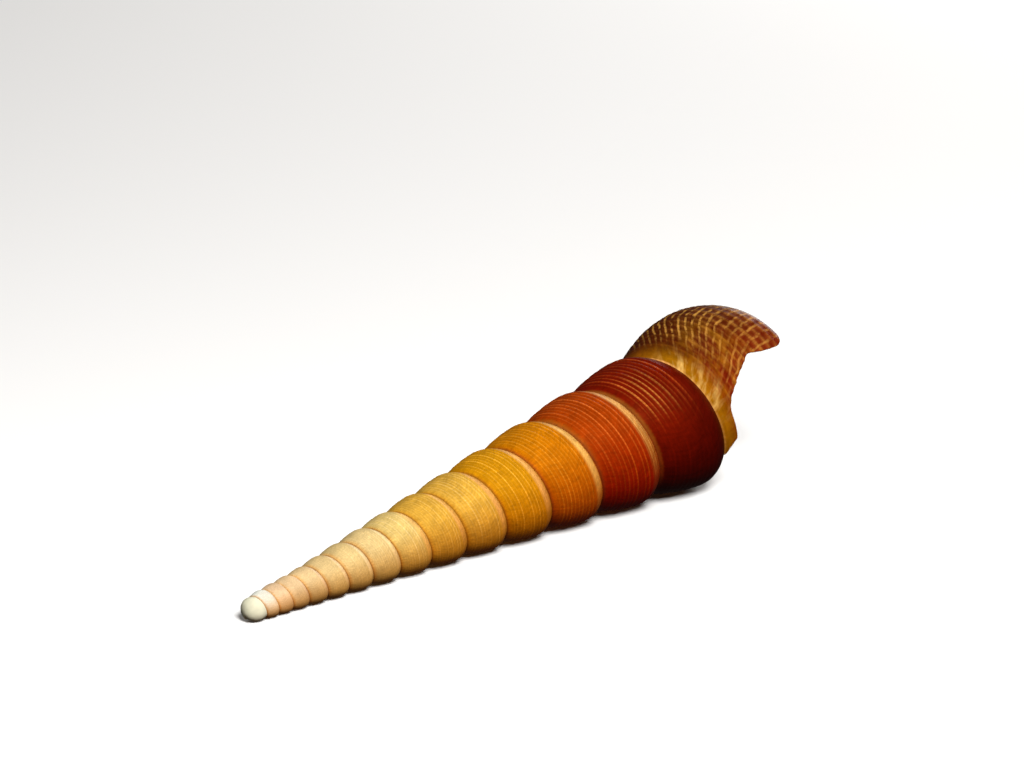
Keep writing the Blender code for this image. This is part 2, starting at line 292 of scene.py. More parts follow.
# Lights, as name, direction that they come from, size, power, colour and share of glint
LIGHT_DISTANCE = 0.9
LIGHTS = (
    ("key_light", (-0.30, -0.66, 0.69), 0.30, 14.5, "#ffffff", 0.6),
    ("warm_fill_light", (-0.25, -0.95, 0.10), 0.50, 0.8, "#ff9848", 0.0),
    ("back_light", (0.85, 0.40, 0.30), 0.40, 4.0, "#ffffff", 0.0),
)
ROOM_COLOUR = "#fff4ea"
ROOM_LIGHT = 0.05
FLOOR_REACH = 3.0


def linear(code):
    """Linear colour of an sRGB hex code."""
    parts = [int(code[k : k + 2], 16) / 255 for k in (1, 3, 5)]
    return tuple(p / 12.92 if p <= 0.04045 else ((p + 0.055) / 1.055) ** 2.4 for p in parts)


def colour_property(name, code, use):
    """A colour that a user can change, given as an sRGB hex code."""
    return FloatVectorProperty(
        name=name.capitalize(), description=use, default=linear(code), subtype="COLOR", min=0, max=1
    )


class ShellForm(bpy.types.PropertyGroup):
    """Sizes of the relief, and how fine the surface is."""

    rib_depth: FloatProperty(
        name="Rib depth",
        description="Depth of the furrows between the spiral ribs, as a share of the whorl's radius",
        default=0.016,
        min=0,
        max=0.05,
        subtype="FACTOR",
    )
    growth_depth: FloatProperty(
        name="Growth lines",
        description="Depth of the growth lines on the last half whorl",
        default=0.10 * MM,
        min=0,
        max=1 * MM,
        unit="LENGTH",
        subtype="DISTANCE",
    )
    columns: IntProperty(
        name="Columns",
        description="Columns of the surface in one turn of the spire; the last whorl has twice as many",
        default=188,
        min=24,
        max=400,
    )


class ShellColours(bpy.types.PropertyGroup):
    """Colours of the shell and of the floor."""

    __annotations__ = {name: colour_property(name, code, use) for name, code, use in COLOURS}


def rise(value, start, end):
    """Rises with level ends from 0 at start to 1 at end, which may be the lower of the two."""
    share = np.clip((value - start) / (end - start), 0.0, 1.0)
    return share * share * (3 - 2 * share)


def bell(value, middle, width):
    """1 in the middle, falling off to both sides with the square of the distance in its power."""
    return np.exp(-(((value - middle) / width) ** 2))


def smooth_through(value, places, levels):
    """Smooth curve through points, level at every turning point: cubics with slopes that are
    the harmonic mean of the slopes on both sides."""
    places, levels = np.asarray(places), np.asarray(levels)
    step = np.diff(places)
    slope = np.diff(levels) / step
    inner = np.where(slope[1:] * slope[:-1] > 0, 2 / (1 / slope[1:] + 1 / slope[:-1]), 0.0)
    ends = np.concatenate([slope[:1], inner, slope[-1:]])
    value = np.clip(value, places[0], places[-1])
    k = np.clip(np.searchsorted(places, value, side="right") - 1, 0, len(step) - 1)
    s = (value - places[k]) / step[k]
    curve = levels[k] * (1 + 2 * s) * (1 - s) ** 2 + levels[k + 1] * s * s * (3 - 2 * s)
    return curve + step[k] * (ends[k] * s * (1 - s) ** 2 - ends[k + 1] * s * s * (1 - s))


def lip_lean(place):
    """Turns by which the lip stands past its turn at the crest, at each place."""
    places, angles = np.transpose(LIP_OUTLINE)
    return smooth_through(place, places, (LIP_ANGLE - angles) / 360)


def real_turn(column, place):
    """Turn of a point of a column. Columns lie straight across the wall up the spire, and over
    the last half whorl they swing round to the shape of the lip. One turn before, their lower
    ends swing as far, so that both whorls meet in the same points of their suture."""
    swing = rise(column, LEAN_START, LIP_TURN)
    below = rise(column + 1, LEAN_START, LIP_TURN) * rise(column, LEAN_START, LIP_TURN - 1)
    foot = rise(place, LEAN_FOOT, 1)
    return column + lip_lean(place) * swing + lip_lean(0.0) * below * foot


def rim_share(turn):
    """How far the wall has taken on its shape past the last suture, from 0 to 1."""
    return rise(turn, RIM_START, RIM_END)


def past_crest(place):
    """0 up to the crest, then rising evenly to 1 at the rim."""
    return np.clip((place - CREST_PLACE) / (1 - CREST_PLACE), 0, 1)


def wall_profile(turn, place):
    """Radius of the wall at a place from suture (0) to suture (1), as a share of the cone's:
    it falls with a power of the distance below the crest, and with a square and a narrow
    groove above it."""
    drop = LOWER_DROP + (RIM_DROP - LOWER_DROP) * rim_share(turn)
    above = np.clip((CREST_PLACE - place) / CREST_PLACE, 0, 1)
    groove = np.where(place < CREST_PLACE, GROOVE_DROP * np.exp(-place / GROOVE_WIDTH), 0.0)
    return 1 - drop * past_crest(place) ** LOWER_POWER - UPPER_DROP * above**2 - groove


def flare_at(turn, place):
    """Share by which the last half whorl stands out from the cone."""
    opened = FLARE * rise(turn, FLARE_START, FLARE_END) * rise(place, 0, FLARE_PLACE)
    tongue = rise(turn, TONGUE_START, TONGUE_END) * rise(place, TONGUE_PLACE, 1)
    return 1 + opened + TONGUE_FLARE * tongue


def height_at(turn, place):
    """Height along the axis: it grows by the whorl ratio in each turn."""
    reach = RIM_REACH * rim_share(turn) * past_crest(place)
    return CREST_HEIGHT * WHORL_RATIO ** (turn + place + reach - CREST_OFFSET)


def apex_swell(turn):
    """Width that the worn first whorls have more than the cone gives them."""
    return APEX_SWELL * rise(turn, APEX_SWELL_START, APEX_TURN)


def wall_radius(turn, place):
    """Distance of the smooth wall from the axis: the cone's radius times the profile and flare."""
    cone = height_at(turn, place) * math.tan(CONE_HALF_ANGLE) + apex_swell(turn)
    return cone * wall_profile(turn, place) * flare_at(turn, place)


def growth_at(turn, place):
    """Turn of the lip when it stood at a point. Up the spire the growth lines are shallow bays,
    and on the last half whorl they run straight over the tongue and sweep back along a smooth
    hinge, a hyperbola, to the deep bay of the lip."""
    inner = np.clip(place, 0, 1)
    shallow = GROWTH_BAY * (2 * inner - np.sin(math.pi * inner) ** 2)
    hinge = GROWTH_HINGE - place
    sweep = GROWTH_SWEEP * (hinge + np.sqrt(hinge**2 + GROWTH_BEND**2)) / 2
    share = rise(turn, SWEEP_START, SWEEP_END)
    return turn + shallow * (1 - share) - sweep * share


def ridges(place):
    """Height of the spiral ribs, from 0 in the furrows to 1: a sum of bells across the wall, one
    on each rib and a small one midway between two ribs."""
    bells = [(middle, RIB_WIDTH, tall) for middle, tall in RIBS]
    for (above, _), (below, _) in zip(RIBS, RIBS[1:]):
        bells.append(((above + below) / 2, THREAD_WIDTH, THREAD_SHARE))
    total = sum(tall * bell(place, middle, width) for middle, width, tall in bells)
    return np.clip(total, 0, 1)


def rib_field(turn, place):
    """1 where the wall is ribbed and 0 in the smooth bands beside the sutures. On the last half
    whorl the ribs run on to the rim, and its upper part is a wide smooth band."""
    start, full, fade, end = RIB_FIELD
    last = rise(turn, LAST_FIELD_START, LAST_FIELD_END)
    return rise(place, start, full + RIB_FIELD_BACK * last) * rise(place, end + last, fade + last)


def growth_wave(growth):
    """Uneven growth lines as a wave from -1 to 1: a sum of sines that don't repeat."""
    return sum(tall * np.sin(math.tau * lines * growth + shift) for lines, tall, shift in GROWTH_WAVES)


def relief(form, turn, place, growth):
    """Depth cut into the wall, in metres, and the height of the ribs there (0 to 1). The furrows
    are a share of the whorl's radius, and the growth lines grow rougher towards the lip."""
    size = height_at(turn, CREST_PLACE) * math.tan(CONE_HALF_ANGLE)
    rib = ridges(place)
    field = rib_field(turn, place)
    low = LOW_SPIRE_RIBS + (1 - LOW_SPIRE_RIBS) * rise(turn, LOW_SPIRE_START, LOW_SPIRE_END)
    faint = 1 - FAINT_SHARE * rise(turn, *FAINT_START) * rise(turn, *reversed(FAINT_END))
    furrow = form.rib_depth * low * faint * size * field * (1 - rib)
    rough = rise(turn, *ROUGH_START) * rise(place, *ROUGH_PLACE)
    rough = ROUGH_LEAST + (1 - ROUGH_LEAST) * rough
    above, below = ROUGH_EDGES
    edges = np.clip(place / above, 0, 1) * np.clip((1 - place) / below, 0, 1)
    lines = form.growth_depth * (size / LIP_SIZE) * rough * (0.5 - 0.5 * growth_wave(growth)) * edges
    return furrow + lines, rib * field


def in_frame(turn, height, radius):
    """Points of the frame from turn, height and radius: x runs from tip to mouth, z is up."""
    angle = math.tau * turn + REST_ROLL
    across = radius * np.cos(angle) - apex_swell(turn)
    sine, cosine = math.sin(CONE_HALF_ANGLE), math.cos(CONE_HALF_ANGLE)
    x = across * sine + height * cosine
    z = -across * cosine + height * sine
    return np.stack([x, radius * np.sin(angle), z], axis=-1) + CONE_TIP


def wall_sheet(form, columns, places):
    """Outside of the wall as (points, whorl map, growth map) on a grid of columns and places."""
    column, place = np.meshgrid(columns, places, indexing="ij")
    turn = real_turn(column, place)
    growth = growth_at(turn, place)
    depth, rib = relief(form, turn, place, growth)
    points = in_frame(turn, height_at(turn, place), wall_radius(turn, place) - depth)
    return points, np.stack([turn, place], -1), np.stack([growth, rib], -1)


def base_sheet(columns, shares, inward=0.0):
    """Base from the rim (0) to the columella (1), or a sheet inward from it. The radius falls
    evenly with the share, and the height bulges by a half sine and dips evenly."""
    column, share = np.meshgrid(columns, shares, indexing="ij")
    rim_turn = real_turn(column, 1.0)
    sweep = np.clip((column - BASE_SWEEP_START) / (LIP_TURN - BASE_SWEEP_START), 0, 1)
    turn = rim_turn + BASE_SWEEP * sweep * share
    rim_height = height_at(turn, 1.0)
    rim = wall_radius(rim_turn, 1.0)
    radius = rim + (PILLAR_RADIUS * rim_height - rim) * share
    bulge = BASE_BULGE * np.sin(math.pi * share) - BASE_DIP * share
    points = in_frame(turn, rim_height * (1 + bulge) - inward, radius)
    return points, np.stack([turn, 1 + share], -1), np.stack([turn, 0 * share], -1)


class Surface:
    """Points and triangles of one closed surface, with two maps kept at the triangles' corners."""

    def __init__(self):
        self.points = []
        self.count = 0
        self.faces = []
        self.maps = []
        self.inside = []

    def add(self, points):
        """Adds an array of points and returns their numbers in the same layout."""
        points = np.asarray(points)
        self.points.append(points.reshape(-1, 3))
        size = points[..., 0].size
        numbers = np.arange(self.count, self.count + size).reshape(points.shape[:-1])
        self.count += size
        return numbers

    def points_at(self, numbers):
        """Places of the points with these numbers."""
        return np.concatenate(self.points)[numbers]

    def move(self, numbers, points):
        """Gives new places to points that are there already."""
        placed = np.concatenate(self.points)
        placed[numbers] = points
        self.points = [placed]

    def triangles(self, corners, maps, inside=False, flip=False):
        """Adds triangles given as three arrays of numbers and three arrays of map values."""
        faces = np.stack([c.ravel() for c in corners], -1)
        values = np.stack([m.reshape(-1, 4) for m in maps], 1)
        whole = (faces != np.roll(faces, 1, axis=1)).all(axis=1)
        faces, values = faces[whole], values[whole]
        if flip:
            faces, values = faces[:, ::-1], values[:, ::-1]
        self.faces.append(faces)
        self.maps.append(values)
        self.inside.append(np.full(len(faces), int(inside)))

    def grid(self, numbers, maps, inside=False, flip=False):
        """Two triangles for each cell of a grid, facing out where columns wind round the axis
        and rows run towards the base."""
        a, b, c, d = numbers[:-1, :-1], numbers[1:, :-1], numbers[1:, 1:], numbers[:-1, 1:]
        p, q, r, s = maps[:-1, :-1], maps[1:, :-1], maps[1:, 1:], maps[:-1, 1:]
        self.triangles((a, b, c), (p, q, r), inside, flip)
        self.triangles((a, c, d), (p, r, s), inside, flip)

    def widen(self, coarse, fine, coarse_maps, fine_maps, inside=False, flip=False):
        """Strip between a coarse run and the next, finer run, which has a whole number of steps
        (times) for each step of the coarse one: each point of the coarse run takes the fine
        steps of its half, and a triangle in between joins two points of the coarse run."""
        steps = len(coarse) - 1
        times = (len(fine) - 1) // steps
        half = times // 2
        for j in range(times):
            near = slice(0, steps) if j < half else slice(1, steps + 1)
            corners = coarse[near], fine[j:-1:times], fine[j + 1 :: times]
            maps = coarse_maps[near], fine_maps[j:-1:times], fine_maps[j + 1 :: times]
            self.triangles(corners, maps, inside, flip)
        middle, mapped = fine[half::times][:steps], fine_maps[half::times][:steps]
        maps = coarse_maps[:-1], mapped, coarse_maps[1:]
        self.triangles((coarse[:-1], middle, coarse[1:]), maps, inside, flip)

    def fan(self, loop, values, pole, pole_value, flip=False, inside=False):
        """Closes a loop of points with triangles to a pole."""
        top = np.full(len(loop), self.add(pole[None])[0])
        last = np.broadcast_to(pole_value, (len(loop), 4))
        after, follows = np.roll(loop, -1), np.roll(values, -1, axis=0)
        self.triangles((loop, after, top), (values, follows, last), inside, flip)

    def dome(self, loop, values, pole, shares, flip=False):
        """Closes a loop with a cap like a ball, whose rings narrow as the cosine of a slope while
        they rise to the pole as its sine. It first widens from each point of the loop, which has
        this share of its widest radius."""
        points = self.points_at(loop)
        high = (points - pole) @ AXIS
        across = points - pole - high[:, None] * AXIS
        start = np.arccos(np.minimum(shares, 1.0)) + 0 * high
        last, last_values = loop, values
        round_again = np.arange(len(loop) + 1) % len(loop)
        for ring in range(1, CAP_RINGS + 1):
            slope = (math.pi / 2 + start) * ring / (CAP_RINGS + 1) - start
            level = high * (1 - (np.sin(slope) + np.sin(start)) / (1 + np.sin(start)))
            spread = np.cos(slope) / np.cos(start)
            numbers = self.add(pole + across * spread[:, None] + level[:, None] * AXIS)
            both = np.stack([last, numbers], 1)[round_again]
            self.grid(both, np.stack([last_values, values], 1)[round_again], flip=flip)
            last, last_values = numbers, values
        self.fan(last, last_values, pole, values.mean(axis=0), flip)

    def build(self, name, materials):
        """Makes the mesh object, with both maps as UV maps."""
        points = np.concatenate(self.points)
        faces = np.concatenate(self.faces)
        values = np.concatenate(self.maps)
        mesh = bpy.data.meshes.new(name)
        mesh.vertices.add(len(points))
        mesh.vertices.foreach_set("co", points.astype(np.float32).ravel())
        mesh.loops.add(faces.size)
        mesh.loops.foreach_set("vertex_index", faces.astype(np.int32).ravel())
        mesh.polygons.add(len(faces))
        mesh.polygons.foreach_set("loop_start", np.arange(0, faces.size, 3, dtype=np.int32))
        mesh.update(calc_edges=True)
        for layer, part in (("whorls", values[..., :2]), ("growth", values[..., 2:])):
            mesh.uv_layers.new(name=layer).data.foreach_set("uv", part.astype(np.float32).ravel())
        for material in materials:
            mesh.materials.append(material)
        mesh.polygons.foreach_set("material_index", np.concatenate(self.inside).astype(np.int32))
        mesh.validate()
        mesh.shade_smooth()
        mesh.set_sharp_from_angle(angle=SHARP_ANGLE)
        piece = bpy.data.objects.new(name, mesh)
        bpy.context.scene.collection.objects.link(piece)
        return piece


def last_places():
    """Places of the rows on the last whorl. They stand closer where the lip runs along the
    whorl: their density is 1 plus a bell round that place."""
    more, middle, width = LIP_ROWS
    even = np.linspace(0, 1, DENSITY_STEPS + 1)
    density = 1 + more * bell(even, middle, width)
    count = np.concatenate([[0.0], np.cumsum(density[1:] + density[:-1])])
    return np.interp(EVEN_PLACES, count / count[-1], even)


def wound_wall(surface, form, columns, per_turn, strides, places):
    """Adds the wall over a run of columns. Neighbouring whorls share the points of their suture.
    strides gives (first turn, each how many rows one is kept). Returns the points' numbers, their
    map values and the points."""
    points, whorls, growth = wall_sheet(form, columns, places)
    maps = np.concatenate([whorls, growth], -1)
    stride = np.zeros(len(columns), int)
    for first, step in strides:
        stride[columns >= first] = step
    used = np.arange(WALL_ROWS + 1)[None, :] % stride[:, None] == 0
    used[: len(columns) - per_turn, -1] = False
    numbers = np.full(used.shape, -1)
    numbers[used] = surface.add(points[used])
    numbers[:-per_turn, -1] = numbers[per_turn:, 0]
    starts = [0] + [k + 1 for k in np.flatnonzero(np.diff(stride))]
    for start, end in zip(starts, starts[1:] + [len(columns)]):
        step = stride[start]
        surface.grid(numbers[start:end, ::step], maps[start:end, ::step])
        if end < len(columns):
            fine = stride[end]
            runs = numbers[end - 1, ::step], numbers[end, ::fine]
            surface.widen(*runs, maps[end - 1, ::step], maps[end, ::fine])
    return numbers, maps, points


def upper_loop(numbers, maps, per_turn, step):
    """Loop round the upper end of a run of wall, as numbers and map values: its first suture, then
    back up its first column."""
    parts = ((part[: per_turn + 1, 0], part[0, -1 - step : 0 : -step]) for part in (numbers, maps))
    return [np.concatenate(part) for part in parts]


def close_above(surface, numbers, maps, per_turn, turn):
    """Closes the upper end of a run of wall with a fan to the axis."""
    loop, values = upper_loop(numbers, maps, per_turn, 1)
    pole = CONE_TIP + AXIS * height_at(turn, UPPER_POLE)
    surface.fan(loop, values, pole, values[0], flip=True)


def close_below(surface, numbers, maps, per_turn, turn):
    """Closes the lower end of a run of wall, its last rim and last column, with a fan to the axis."""
    parts = ((part[-per_turn - 1 :, -1], part[-1, -2:0:-1]) for part in (numbers, maps))
    loop, values = [np.concatenate(part) for part in parts]
    surface.fan(loop, values, CONE_TIP + AXIS * height_at(turn, LOWER_POLE), values[0])


def columns_between(start, end, per_turn):
    """Columns from start to end, evenly spaced and counted back from the end."""
    count = round((end - start) * per_turn)
    return end - np.arange(count, -1, -1) / per_turn


def make_spire(form, materials):
    """The spire from the worn tip down. Its upper whorls have fewer rows."""
    surface = Surface()
    per_turn = form.columns
    columns = columns_between(APEX_TURN, SPIRE_END, per_turn)
    numbers, maps, _ = wound_wall(surface, form, columns, per_turn, SPIRE_STRIDES, EVEN_PLACES)
    loop, values = upper_loop(numbers, maps, per_turn, SPIRE_STRIDES[0][1])
    low = ((surface.points_at(loop) - CONE_TIP) @ AXIS).min()
    shares = wall_profile(APEX_TURN, values[:, 1]) / APEX_FULL
    lift = apex_swell(APEX_TURN) * np.array((-AXIS[2], 0.0, AXIS[0]))
    values = np.tile((APEX_TURN, CREST_PLACE, APEX_TURN, 0.0), (len(loop), 1))
    surface.dome(loop, values, CONE_TIP + AXIS * (low - APEX_ROUND) + lift, shares, flip=True)
    close_below(surface, numbers, maps, per_turn, SPIRE_END)
    return surface.build("shell_spire", materials)


def make_whorls(form, materials):
    """The two ribbed whorls between the spire and the last whorl."""
    surface = Surface()
    per_turn = form.columns
    columns = columns_between(SPIRE_END, WHORLS_END, per_turn)
    numbers, maps, _ = wound_wall(surface, form, columns, per_turn, ALL_ROWS, EVEN_PLACES)
    close_above(surface, numbers, maps, per_turn, SPIRE_END)
    close_below(surface, numbers, maps, per_turn, WHORLS_END)
    return surface.build("shell_whorls", materials)


def soften_rim(wall, base):
    """Rounds the corner between the wall and the base where it is bare: points near the corner
    move a little towards the middle of their neighbours, a few times over."""
    rows = np.concatenate([wall, base[:, 1:]], axis=1)
    corner = wall.shape[1] - 1
    near = bell(np.arange(rows.shape[1]), corner, LOOSE_ROWS)
    near[[0, -1]] = 0
    bare = rise(np.arange(len(rows)), 0, BARE_COLUMNS)
    weight = (near[None, :] * bare[:, None])[..., None]
    for _ in range(ROUNDING_STEPS):
        middle = (np.roll(rows, 1, axis=1) + np.roll(rows, -1, axis=1)) / 2
        rows = rows + 0.5 * weight * (middle - rows)
    return rows[:, : corner + 1], rows[:, corner:]


def add_base(surface, wall_points, numbers, columns, turn, deep):
    """Adds the base outside, and the roof of the tube inside, as one sheet. Its first rows are
    left out inside, where the tube's own wall begins."""
    count = len(columns) - 1 - deep + turn
    roof_columns = columns[-1] - np.arange(count, -1, -1) / turn
    base, whorls, growth = base_sheet(roof_columns, BASE_SHARES)
    maps = np.concatenate([whorls, growth], -1)
    bare = slice(-turn - 1, None)
    wall, base[bare] = soften_rim(wall_points[bare], base[bare])
    surface.move(numbers[bare], wall)
    base_numbers = np.full(base.shape[:2], -1)
    base_numbers[:, ROOF_ROW:] = surface.add(base[:, ROOF_ROW:])
    base_numbers[bare, 1:ROOF_ROW] = surface.add(base[bare, 1:ROOF_ROW])
    base_numbers[bare, 0] = numbers[bare, -1]
    surface.grid(base_numbers[bare], maps[bare])
    surface.grid(base_numbers[:-turn, ROOF_ROW:], maps[:-turn, ROOF_ROW:], inside=True)
    return base_numbers, maps


def add_tube(surface, base_numbers, tube):
    """Adds the inside of the tube: its wall, its floor and the columella, from roof to roof."""
    share = (tube - tube[0]) / (tube[-1] - tube[0])
    thick = (WALL + (LIP_WALL - WALL) * share**LIP_THINNING)[:, None]
    places = last_places()[LINING_STEP::LINING_STEP]
    column, place = np.meshgrid(tube, places, indexing="ij")
    at = real_turn(column, place)
    corner = thick * (place == 1)
    wall = in_frame(at, height_at(at, place) - corner, wall_radius(at, place) - thick)
    shares = BASE_SHARES[ROOF_ROW:]
    floor = base_sheet(tube, shares, thick)[0]
    roof = surface.points_at(base_numbers[: len(tube), [ROOF_ROW, -1]])
    steps = np.linspace(0, 1, PILLAR_ROWS + 1)[1:-1]
    pillar = floor[:, -1:] + (roof[:, 1:] - floor[:, -1:]) * steps[None, :, None]
    inner = surface.add(np.concatenate([wall, floor, pillar], axis=1))
    run = np.column_stack([base_numbers[: len(tube), ROOF_ROW], inner, base_numbers[: len(tube), -1]])
    spots = np.concatenate([[0.0], places, 1 + shares, 2 + steps, [3.0]])
    maps = np.zeros(run.shape + (4,))
    maps[..., 0] = maps[..., 2] = tube[:, None]
    maps[..., 1] = spots
    surface.grid(run, maps, inside=True, flip=True)
    end = np.concatenate([run[0], base_numbers[0, -2:ROOF_ROW:-1]])
    height = height_at(tube[0], TUBE_MIDDLE)
    radius = TUBE_MIDDLE * wall_radius(tube[0], TUBE_MIDDLE)
    back = in_frame(tube[0] - TUBE_END_TURN, height, radius)
    values = np.broadcast_to(maps[0, 0], (len(end), 4))
    surface.fan(end, values, back, maps[0, 0], flip=True, inside=True)
    return run, spots


def add_lip(surface, outer, before, outer_maps, run, spots, step_point):
    """Adds the rounded edge of the lip: rings that go over from the outside to the inside as half
    an ellipse. Returns the ends of the rings at the columella."""
    fine = np.concatenate([last_places(), 1 + BASE_SHARES[1:]])
    inner = run[: np.count_nonzero(spots <= 2)]
    target = surface.points_at(inner)
    target = np.stack([np.interp(fine, spots[: len(inner)], target[:, k]) for k in range(3)], -1)
    start = surface.points_at(outer)
    ahead = start - surface.points_at(before)
    ahead = ahead / np.linalg.norm(ahead, axis=1)[:, None]
    half = np.linalg.norm(target - start, axis=1)[:, None] / 2
    rings = [outer]
    for ring in range(1, LIP_RINGS):
        angle = math.pi * ring / LIP_RINGS
        bead = start + (target - start) * (1 - math.cos(angle)) / 2 + ahead * half * math.sin(angle)
        first = outer[:1] if ring < LIP_RINGS / 2 else step_point
        rings.append(np.concatenate([first, surface.add(bead[1:])]))
    strip = np.stack(rings)
    maps = np.broadcast_to(outer_maps, strip.shape + (4,))
    surface.grid(strip, maps)
    last, wall_end = rings[-1], WALL_ROWS // LINING_STEP
    columns = [np.interp(spots[: len(inner)], fine, outer_maps[:, k]) for k in range(4)]
    inner_maps = np.stack(columns, -1)
    on_wall = slice(0, WALL_ROWS + 1), slice(0, wall_end + 1)
    on_corner = slice(WALL_ROWS, WALL_ROWS + ROOF_ROW + 1), slice(wall_end, wall_end + 2)
    for outside, within in (on_wall, on_corner):
        runs = inner[within], last[outside], inner_maps[within], outer_maps[outside]
        surface.widen(*runs, flip=True)
    outside, within = slice(WALL_ROWS + ROOF_ROW, None), slice(wall_end + 1, None)
    both = np.stack([last[outside], inner[within]])
    surface.grid(both, np.stack([outer_maps[outside], inner_maps[within]]))
    return [ring[-1] for ring in rings[1:]]


def make_last_whorl(form, materials):
    """The last whorl with its base, lip, columella and open tube."""
    surface = Surface()
    turn = 2 * form.columns
    columns = columns_between(WHORLS_END, LIP_TURN, turn)
    numbers, maps, points = wound_wall(surface, form, columns, turn, ALL_ROWS, last_places())
    close_above(surface, numbers, maps, turn, WHORLS_END)
    deep = len(columns) - 1 - round(TUBE_DEPTH * turn)
    base, base_maps = add_base(surface, points, numbers, columns, turn, deep)
    run, spots = add_tube(surface, base, columns[deep:])
    outer = np.concatenate([numbers[-1], base[-1, 1:]])
    before = np.concatenate([numbers[-2], base[-2, 1:]])
    outer_maps = np.concatenate([maps[-1], base_maps[-1, 1:]])
    ends = add_lip(surface, outer, before, outer_maps, run[-1], spots, base[-turn - 1, 1:2])

    # The rounded end of the columella
    pillar = run[-1, np.count_nonzero(spots < 2) : -1]
    loop = np.concatenate([base[-turn - 1 :, -1], ends, pillar]).astype(int)
    values = np.broadcast_to(base_maps[-1, -1], (len(loop), 4))
    end = (surface.points_at(base[-1, -1]) - CONE_TIP) @ AXIS
    surface.dome(loop, values, CONE_TIP + AXIS * end * (1 - PILLAR_END_BACK), 1.0)
    return surface.build("shell_last_whorl", materials)


def add_node(tree, kind, inputs=None, stops=None, result=0, **settings):
    """Adds a shader node with its settings and returns one of its outputs. Each input is a value
    to set or a socket to link."""
    made = tree.nodes.new("ShaderNode" + kind)
    for name, value in settings.items():
        setattr(made, name, value)
    for name, value in (inputs or {}).items():
        if isinstance(value, bpy.types.NodeSocket):
            tree.links.new(value, made.inputs[name])
        else:
            made.inputs[name].default_value = value
    if stops:
        elements = made.color_ramp.elements
        while len(elements) < len(stops):
            elements.new(1.0)
        for element, (position, colour) in zip(elements, stops):
            element.position = position
            element.color = (*colour, 1.0)
    return made.outputs[result]


def along_spire(tree, turn, colours, stops):
    """Colour that changes down the spire, from (turn, name of a colour) stops."""
    first, last = stops[0][0], stops[-1][0]
    share = add_node(tree, "MapRange", {0: turn, 1: first, 2: last})
    ramp = [((at - first) / (last - first), getattr(colours, name)) for at, name in stops]
    return add_node(tree, "ValToRGB", {0: share}, stops=ramp)


def band(tree, value, start, full, fade=8.0, end=9.0):
    """1 from full to fade and 0 outside start and end, with smooth edges. Without its last two
    numbers it never falls, and with start above full it is 1 below full."""
    smooth = {"interpolation_type": "SMOOTHSTEP"}
    rising = add_node(tree, "MapRange", {0: value, 1: start, 2: full}, **smooth)
    return add_node(tree, "MapRange", {0: value, 1: end, 2: fade, 4: rising}, **smooth)


def streaks(tree, maps, across, along, low, high):
    """Uneven streaks from 0 to 1: noise on a map that is stretched by (across, along)."""
    spot = add_node(tree, "VectorMath", {0: maps, 1: (across, along, 0.0)}, operation="MULTIPLY")
    noise = {"Vector": spot, "Scale": 1.0, "Detail": 3.0, "Roughness": 0.6}
    noise = add_node(tree, "TexNoise", noise)
    return add_node(tree, "MapRange", {0: noise, 1: low, 2: high})


def growth_lines(tree, growth, warp, count, low, high):
    """Growth lines from 0 to 1: a sine of the growth turn, shifted a little by a warp."""
    shifted = add_node(tree, "Math", {0: warp, 1: LINE_WARP, 2: growth}, operation="MULTIPLY_ADD")
    angle = add_node(tree, "Math", {0: shifted, 1: math.tau * count}, operation="MULTIPLY")
    wave = add_node(tree, "Math", {0: angle}, operation="SINE")
    return add_node(tree, "MapRange", {0: wave, 1: low, 2: high})


def coat(tree, colour, above, *shares, blend="MIX"):
    """Lays a second colour over the first, as far as the product of all its shares."""
    share = shares[0]
    for other in shares[1:]:
        share = add_node(tree, "Math", {0: share, 1: other}, operation="MULTIPLY")
    if not isinstance(above, bpy.types.NodeSocket):
        above = (*above, 1.0)
    inputs = {0: share, 6: colour, 7: above}
    return add_node(tree, "Mix", inputs, result=2, data_type="RGBA", blend_type=blend)


def new_material(name):
    """A new material with its nodes and the one of them that shades it."""
    material = bpy.data.materials.new(name)
    material.use_nodes = True
    return material, material.node_tree, material.node_tree.nodes["Principled BSDF"]


